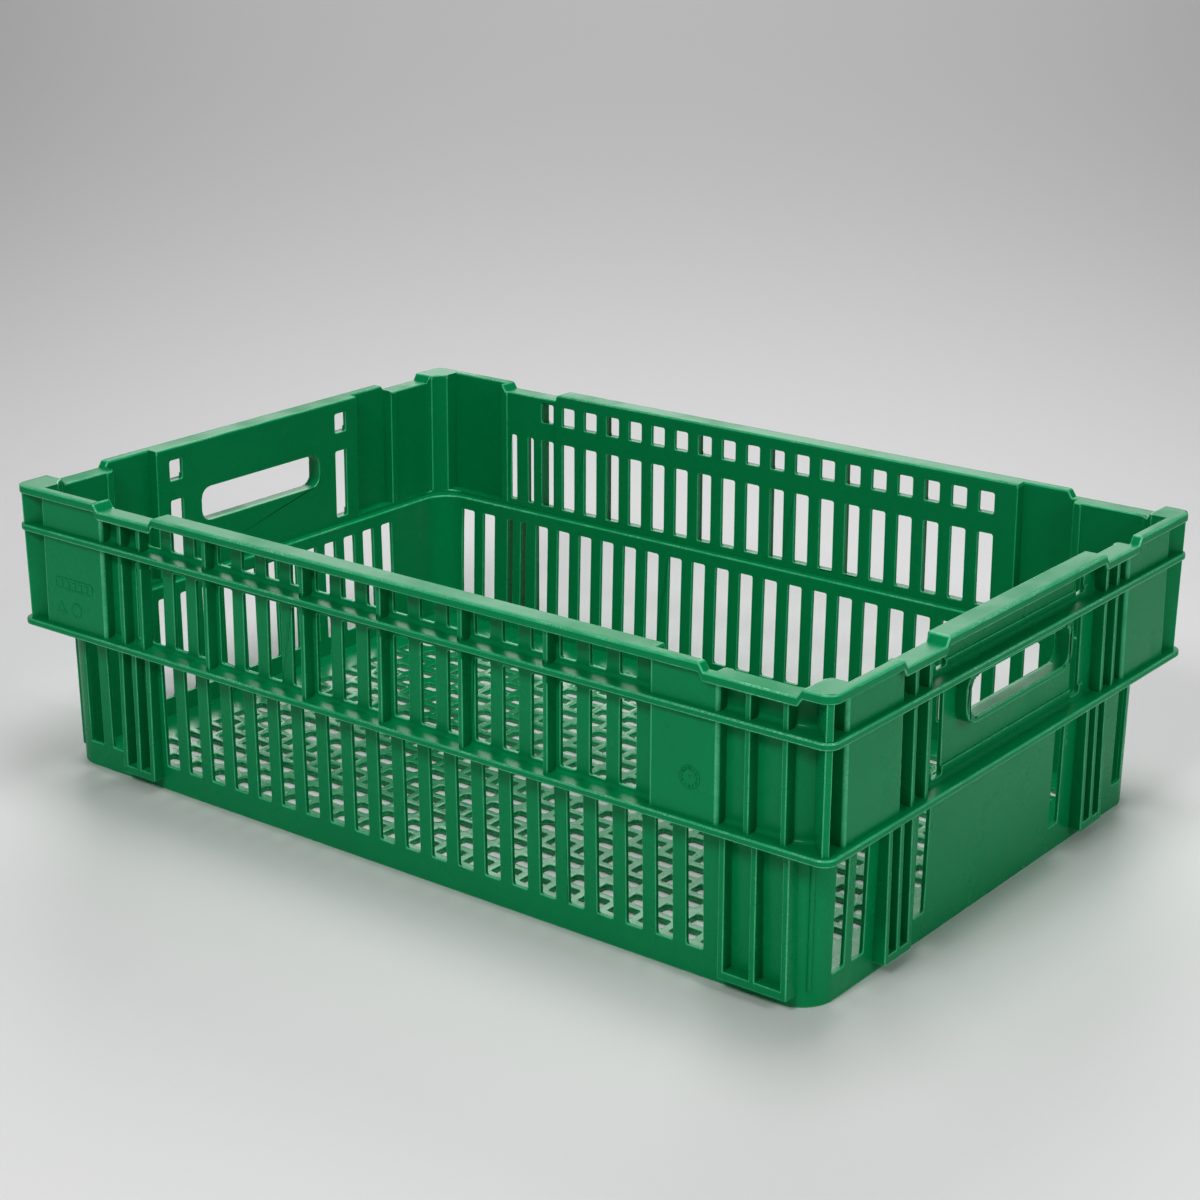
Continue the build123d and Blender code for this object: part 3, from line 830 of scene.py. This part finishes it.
@dataclass(frozen=True)
class FlangeRoots:
    """Hollow fillets where the upper walls stand on the two flanges."""

    radius: float = 2.2 * MM
    hollow: float = 0.086
    hollow_share: float = 0.98
    steps: int = 4
    turn_steps: int = 8
    corner_radius: float = 20.0 * MM
    band_out: float = 1.0 * MM
    band_half: float = 88.0 * MM

    def straight(self, name: str, along: int, out: float, start: float, end: float,
                 top: float) -> bpy.types.Object:
        """Build one straight fillet.

        Args:
            name: the piece's name.
            along: the axis it follows, 0 or 1.
            out: the wall's outer face on the other axis, with its sign.
            start: where it starts.
            end: where it ends.
            top: the flange's top.

        Returns:
            The fillet.
        """
        across = 1 - along
        low, high = [0.0, 0.0, top], [0.0, 0.0, top + self.radius]
        low[along], high[along] = sorted((start, end))
        low[across], high[across] = sorted((out, out + math.copysign(self.radius, out)))
        obj = add_box(name, low, high)
        with editing(obj, "EDGE") as mesh:
            choose(mesh, obj, "edges", lambda edge: all(
                v.co.z > high[2] - TOUCH and abs(v.co[across] - out) > self.radius - TOUCH
                for v in edge.verts))
            bpy.ops.mesh.bevel(offset=self.hollow_share * self.radius, segments=self.steps,
                               profile=self.hollow, affect="EDGES")
        return obj

    def bend(self, name: str, centre: Vector, first: float,
             last: float) -> bpy.types.Object:
        """Spin the fillet round one corner of the wall.

        Args:
            name: the piece's name.
            centre: the middle of the corner's curve, on the flange's top.
            first: where it starts, in degrees from the crate's length.
            last: where it ends.

        Returns:
            The fillet.
        """
        turn = math.radians(first)
        ray = Vector((math.cos(turn), math.sin(turn), 0.0))
        middle = centre + ray * (self.corner_radius + self.radius / 2)
        pick()
        bpy.ops.mesh.primitive_plane_add(
            size=self.radius, location=middle + Vector((0, 0, self.radius / 2)),
            rotation=(math.pi / 2, 0.0, turn))
        obj = settle(bpy.context.object)
        with editing(obj, "VERT") as mesh:
            choose(mesh, obj, "verts", lambda v: v.co.z > centre.z + 0.5 * self.radius
                   and (v.co - centre).dot(ray) > self.corner_radius + 0.5 * self.radius)
            bpy.ops.mesh.bevel(offset=self.hollow_share * self.radius, segments=self.steps,
                               profile=self.hollow, affect="VERTICES")
            bpy.ops.mesh.select_all(action="SELECT")
            bpy.ops.mesh.spin(steps=self.turn_steps, angle=math.radians(first - last),
                              center=centre, axis=(0.0, 0.0, 1.0))
        return join([obj], name)

    def corner(self, name: str, sx: int, sy: int, face: Vector,
               top: float) -> list[bpy.types.Object]:
        """Build the fillets from a corner's clear side round to its side pocket.

        Args:
            name: the name of the pieces.
            sx: which end of the crate, -1 or 1.
            sy: which long side, -1 or 1.
            face: how far the wall's outer faces stand from the middle.
            top: the flange's top.

        Returns:
            The straight run and the bend after it.
        """
        side = "left" if sx < 0 else "right"
        # both pockets are read at the front, as the back mirrors it
        long_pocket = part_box(f"pocket_front_{side}")
        short_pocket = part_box(f"pocket_{side}_front")
        centre = face - Vector((self.corner_radius, self.corner_radius, 0.0))
        place = Vector((sx * centre.x, sy * centre.y, top))
        if sx > 0:
            # from the long side's pocket, along the long wall, to the short side's pocket
            run = self.straight(name, 0, sy * face.y, long_pocket[1][0], centre.x, top)
            meet = math.degrees(math.asin(
                (abs(short_pocket[0][1]) - centre.y) / self.corner_radius))
            return [run, self.bend(name, place, sy * 90.0, sy * meet)]
        run = self.straight(name, 1, sx * face.x, sy * abs(short_pocket[0][1]),
                            sy * centre.y, top)
        meet = math.degrees(math.acos(
            (abs(long_pocket[0][0]) - centre.x) / self.corner_radius))
        return [run, self.bend(name, place, 180.0, 180.0 - sy * meet)]

    def build(self) -> Iterator[Piece]:
        """Build the fillets of both flanges, read from where the walls stand."""
        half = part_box("ledge_flange_front")
        face_x = abs(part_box("upper_wall_left")[0][0]) - self.band_out
        set_in = abs(half[0][0]) - face_x
        face = Vector((face_x, abs(half[0][1]) - set_in, 0.0))
        left_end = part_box("pocket_front_left")[1][0]
        right_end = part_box("pocket_front_right")[0][0]
        for flange in ("ledge", "middle"):
            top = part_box(f"{flange}_flange_front")[1][2]
            for sy, wall in FACES:
                name = f"{flange}_root_{wall}"
                yield self.straight(name, 0, sy * face.y, left_end, right_end,
                                    top), Slot.MOULDING
            for sx, side in ENDS:
                name = f"{flange}_root_{side}"
                runs = [self.straight(name, 1, sx * (face.x + self.band_out),
                                      -self.band_half, self.band_half, top)]
                plate = abs(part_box(f"pocket_{side}_front")[1][1])
                for sy, wall in FACES:
                    runs.append(self.straight(name, 1, sx * face.x, sy * self.band_half,
                                              sy * plate, top))
                    runs.extend(self.corner(name, sx, sy, face, top))
                yield join(runs, name), Slot.MOULDING


@dataclass(frozen=True)
class DateDial:
    """Moulded month dial on the front of the right stacking pocket."""

    zone: str = "pocket_front_right"
    from_edge: float = 26.0 * MM
    over_ledge: float = 22.0 * MM
    radius: float = 6.6 * MM
    border: float = 0.55 * MM
    sides: int = 56
    ring_round: float = 0.08 * MM
    month_step: float = 30.0
    numbers_at: float = 4.7 * MM
    number_size: float = 2.3 * MM
    pointer: float = 2.6 * MM
    pointer_round: float = 0.1 * MM

    def number(self, value: int, centre: Vector) -> bpy.types.Object:
        """Raise one number of the dial.

        Args:
            value: the month.
            centre: the middle of the dial.

        Returns:
            The number as a mesh.
        """
        turn = math.radians(self.month_step * value)
        place = centre + Vector((math.sin(turn), 0.0, math.cos(turn))) * self.numbers_at
        pick()
        bpy.ops.object.text_add(location=place, rotation=(math.pi / 2, 0.0, 0.0))
        obj = bpy.context.object
        obj.data.body = str(value)
        obj.data.align_x, obj.data.align_y = "CENTER", "CENTER"
        obj.data.size = self.number_size
        obj.data.extrude = RELIEF
        obj.data.resolution_u = 2
        bpy.ops.object.convert(target="MESH")
        return settle(bpy.context.object)

    def build(self) -> Iterator[Piece]:
        """Build the ring, its numbers and the pointer in the middle."""
        low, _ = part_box(self.zone)
        centre = Vector((low[0] + self.from_edge, low[1], low[2] + self.over_ledge))
        back = centre + Vector((0.0, RELIEF_ROOT, 0.0))
        ring = add_disc("ring", back, self.radius, RELIEF + RELIEF_ROOT, self.sides)
        sink_front(ring, self.border, RELIEF - FIELD)
        soften(ring, self.ring_round, 1)
        head = add_disc("pointer", back + Vector((0.0, 0.0, self.pointer / 4)),
                        self.pointer / 2, RELIEF + RELIEF_ROOT, 3)
        soften(head, self.pointer_round, 1)
        months = [self.number(value, centre) for value in range(1, 13)]
        yield join([ring, head, *months], "date_dial"), Slot.MOULDING


@dataclass(frozen=True)
class MakerMarks:
    """Blank name plate, triangle and ring on the front of the left stacking pocket."""

    zone: str = "pocket_front_left"
    border: float = 0.9 * MM
    plate_low: tuple[float, float] = (10.0 * MM, 24.5 * MM)
    plate_high: tuple[float, float] = (44.0 * MM, 32.0 * MM)
    stripes: int = 5
    triangle_at: tuple[float, float] = (14.5 * MM, 11.5 * MM)
    triangle_radius: float = 5.2 * MM
    plate_corner: float = 2.2 * MM
    mark_round: float = 0.1 * MM
    stripe_round: float = 0.15 * MM
    ring_sides: int = 40
    ring_at: tuple[float, float] = (28.0 * MM, 12.5 * MM)
    ring_radius: float = 4.8 * MM

    def build(self) -> Iterator[Piece]:
        """Build the three marks as one raised piece."""
        low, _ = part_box(self.zone)
        corner = Vector((low[0], low[1], low[2]))
        deep = Vector((0.0, RELIEF_ROOT, 0.0))

        def spot(place: tuple[float, float]) -> Vector:
            """A place on the pocket's front, from its lower left corner."""
            return corner + Vector((place[0], 0.0, place[1]))

        start, end = spot(self.plate_low), spot(self.plate_high)
        plate = add_box("name_plate", start - Vector((0, RELIEF, 0)), end + deep)
        with editing(plate, "EDGE") as mesh:
            choose(mesh, plate, "edges", lambda edge: abs(
                edge.verts[0].co.y - edge.verts[1].co.y) > RELIEF)
            bpy.ops.mesh.bevel(offset=self.plate_corner, segments=5, profile=0.5,
                               affect="EDGES")
        sink_front(plate, self.border, RELIEF - FIELD)
        soften(plate, self.mark_round, 1)
        parts = [plate]
        # plain upright stripes stand in the field in place of a name
        step = (end.x - start.x) / (self.stripes + 1)
        for n in range(self.stripes):
            middle = start.x + step * (n + 1)
            stripe = add_box("stripe", (middle - step / 4, start.y - RELIEF,
                                        start.z + 2 * self.border),
                             (middle + step / 4, start.y + RELIEF_ROOT,
                              end.z - 2 * self.border))
            soften(stripe, self.stripe_round)
            parts.append(stripe)
        for place, radius, corners in ((self.triangle_at, self.triangle_radius, 3),
                                       (self.ring_at, self.ring_radius, self.ring_sides)):
            mark = add_disc("mark", spot(place) + deep, radius,
                            RELIEF + RELIEF_ROOT, corners)
            sink_front(mark, self.border, RELIEF - FIELD)
            soften(mark, self.mark_round, 1)
            parts.append(mark)
        yield join(parts, "maker_marks"), Slot.MOULDING


# ---- floor, light and camera ------------------------------------------------------
@dataclass(frozen=True)
class SoftBox:
    """One soft studio lamp, aimed at the crate."""

    name: str
    place: tuple[float, float, float]
    size: tuple[float, float]
    watts: float
    aim: tuple[float, float, float] = (0.0, 0.0, 0.09)

    def build(self) -> None:
        """Hang the lamp and turn it to its target."""
        data = bpy.data.lights.new(self.name, "AREA")
        data.shape = "RECTANGLE"
        data.size, data.size_y = self.size
        data.energy = self.watts
        lamp = bpy.data.objects.new(self.name, data)
        bpy.context.scene.collection.objects.link(lamp)
        lamp.location = self.place
        lamp.rotation_euler = (Vector(self.aim) - lamp.location).to_track_quat(
            "-Z", "Y").to_euler()


@dataclass(frozen=True)
class BackGlow:
    """Wide soft light from far behind, low enough to shine off the floor's bars."""

    place: tuple[float, float, float] = (-0.56, 0.75, 0.40)
    strength: float = 0.68
    spread: float = 34.0

    def build(self) -> None:
        """Set the light and turn it to the crate."""
        data = bpy.data.lights.new("back_glow", "SUN")
        data.energy = self.strength
        data.angle = math.radians(self.spread)
        lamp = bpy.data.objects.new("back_glow", data)
        bpy.context.scene.collection.objects.link(lamp)
        lamp.rotation_euler = (-Vector(self.place)).to_track_quat("-Z", "Y").to_euler()


@dataclass(frozen=True)
class Studio:
    """Plain pale floor, soft lamps and the camera."""

    sky: float = 0.14
    floor_tone: float = 0.8
    floor_roughness: float = 0.55
    floor_reach: float = 60.0
    floor_gap: float = 0.2 * MM
    lamps: tuple[SoftBox | BackGlow, ...] = (
        SoftBox("key", (0.3, -2.1, 1.95), (0.7, 0.6), 21.0),
        SoftBox("overhead", (0.1, 0.2, 2.1), (1.0, 0.8), 12.5),
        SoftBox("end_fill", (2.2, -0.3, 1.4), (0.6, 0.7), 11.0),
        BackGlow(),
    )

    def floor(self) -> None:
        """Lay the pale floor just under the crate."""
        bpy.ops.mesh.primitive_plane_add(size=self.floor_reach,
                                         location=(0.0, 0.0, -self.floor_gap))
        floor = bpy.context.object
        floor.name = "studio_floor"
        material = bpy.data.materials.new("pale_floor")
        material.use_nodes = True
        shader = material.node_tree.nodes["Principled BSDF"]
        shader.inputs["Base Color"].default_value = (*(self.floor_tone,) * 3, 1.0)
        shader.inputs["Roughness"].default_value = self.floor_roughness
        floor.data.materials.append(material)

    def world(self) -> None:
        """Even pale surround."""
        world = bpy.data.worlds.new("studio")
        world.use_nodes = True
        back = world.node_tree.nodes["Background"]
        back.inputs["Color"].default_value = (1.0, 1.0, 1.0, 1.0)
        back.inputs["Strength"].default_value = self.sky
        bpy.context.scene.world = world
        bpy.context.scene.view_settings.view_transform = "Standard"
        bpy.context.scene.view_settings.look = "Medium High Contrast"

    def build(self) -> None:
        """Set the whole studio up."""
        self.world()
        self.floor()
        for lamp in self.lamps:
            lamp.build()


@dataclass(frozen=True)
class View:
    """The camera: place in metres, aim in degrees, lens in millimetres."""

    place: tuple[float, float, float] = (0.90349, -1.16934, 0.61590)
    heading: float = 127.559
    dip: float = 15.944
    roll: float = 0.238
    lens: float = 75.71
    sensor: float = 36.0
    rise: float = -0.1

    def build(self) -> None:
        """Make the camera and give it to the scene."""
        yaw, pitch, roll = (math.radians(a) for a in (self.heading, self.dip, self.roll))
        ahead = Vector((math.cos(pitch) * math.cos(yaw), math.cos(pitch) * math.sin(yaw),
                        -math.sin(pitch)))
        side = ahead.cross(Vector((0, 0, 1))).normalized()
        up = side.cross(ahead)
        right = math.cos(roll) * side + math.sin(roll) * up
        over = -math.sin(roll) * side + math.cos(roll) * up
        data = bpy.data.cameras.new("camera")
        data.sensor_width = self.sensor
        data.lens = self.lens
        data.shift_y = self.rise
        camera = bpy.data.objects.new("camera", data)
        bpy.context.scene.collection.objects.link(camera)
        camera.matrix_world = Matrix.Translation(self.place) @ Matrix(
            (right, over, -ahead)).transposed().to_4x4()
        bpy.context.scene.camera = camera


@dataclass
class Crate:
    """The whole crate: its zones, finishes and small details.

    Wide rounding is for rims and flanges, plate for the pockets, narrow for columns
    and corners, and grid for the floor. The walls also have rounded vents.
    """

    nodes: dict[str, bpy.types.Object]
    wide: EdgeRound = EdgeRound(1.0 * MM)
    plate: EdgeRound = EdgeRound(2.0 * MM, segments=3)
    narrow: EdgeRound = EdgeRound(0.6 * MM)
    long_wall: EdgeRound = EdgeRound(0.6 * MM, opening=1.5 * MM, through=1)
    short_wall: EdgeRound = EdgeRound(0.6 * MM, opening=1.5 * MM, through=0)
    grid: EdgeRound = EdgeRound(0.5 * MM, segments=1, opening=2.0 * MM, through=2)
    flanges: tuple[str, ...] = ("rim", "ledge_flange", "middle_flange", "hand_collar")
    green: tuple[float, float, float] = (0.001, 0.29, 0.106)
    # pale tint for scratches (wear) and for rounded edges, where it is partly wear and
    # partly a painted highlight
    pale: tuple[float, float, float] = (0.05, 0.62, 0.29)

    def rounding(self, name: str) -> EdgeRound:
        """Choose how the edges of a zone are rounded.

        Args:
            name: the zone.

        Returns:
            Its rounding.
        """
        if name == "floor_grid":
            return self.grid
        if name.startswith(self.flanges):
            return self.wide
        if name.startswith("pocket"):
            return self.plate
        if name.startswith(("upper_wall", "lower_wall")):
            return self.long_wall if name.endswith(("front", "back")) else self.short_wall
        if name.startswith("lower_corner"):
            return self.long_wall if name.endswith("left") else self.short_wall
        return self.narrow

    def slot(self, name: str) -> Slot:
        """Choose the material slot of a zone.

        Args:
            name: the zone.

        Returns:
            Its slot.
        """
        if name == "floor_grid":
            return Slot.BASE
        return Slot.FLANGE if name.startswith(self.flanges) else Slot.MOULDING

    def finishes(self) -> dict[Slot, bpy.types.Material]:
        """Make the plastics.

        Returns:
            The plastic of each material slot.
        """
        groups = ShaderGroups()
        groups.mould_grain()
        groups.scuffs()
        groups.edge_wear()
        plastics = {
            Slot.MOULDING: MouldedPlastic("green_moulding", self.green, self.pale,
                                          roughness=0.25, gloss=0.2),
            Slot.FLANGE: MouldedPlastic("green_flange", self.green, self.pale,
                                        roughness=0.34, gloss=0.16, chips=0.45),
            Slot.BASE: MouldedPlastic("green_base", self.green, self.pale,
                                      roughness=0.22, gloss=0.7, edge=0.4),
        }
        return {slot: plastic.build(groups) for slot, plastic in plastics.items()}

    def build(self) -> None:
        """Finish every zone and add the small details."""
        plastic = self.finishes()
        neighbours = Neighbours(self.nodes)
        for name in sorted(self.nodes):
            zone = MouldedZone(name, self.slot(name), self.rounding(name))
            piece = zone.build(self.nodes[name], neighbours)
            piece.data.materials.append(plastic[zone.slot])
            self.nodes[name].data.materials.clear()
            self.nodes[name].data.materials.append(plastic[zone.slot])
            log.info("%s: %d faces", piece.name, len(piece.data.polygons))
        for maker in (CornerBeads(), FlangeRoots(), DateDial(), MakerMarks()):
            for piece, slot in maker.build():
                shade(piece)
                piece.data.materials.clear()
                piece.data.materials.append(plastic[slot])
                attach(piece, BODY)
                log.info("%s: %d faces", piece.name, len(piece.data.polygons))


def main() -> None:
    """Build the studio and the crate."""
    logging.basicConfig(level=logging.INFO, format="%(name)s: %(message)s")
    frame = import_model()
    View().build()
    Studio().build()
    Crate(frame["nodes"]).build()


if __name__ == "__main__":
    main()
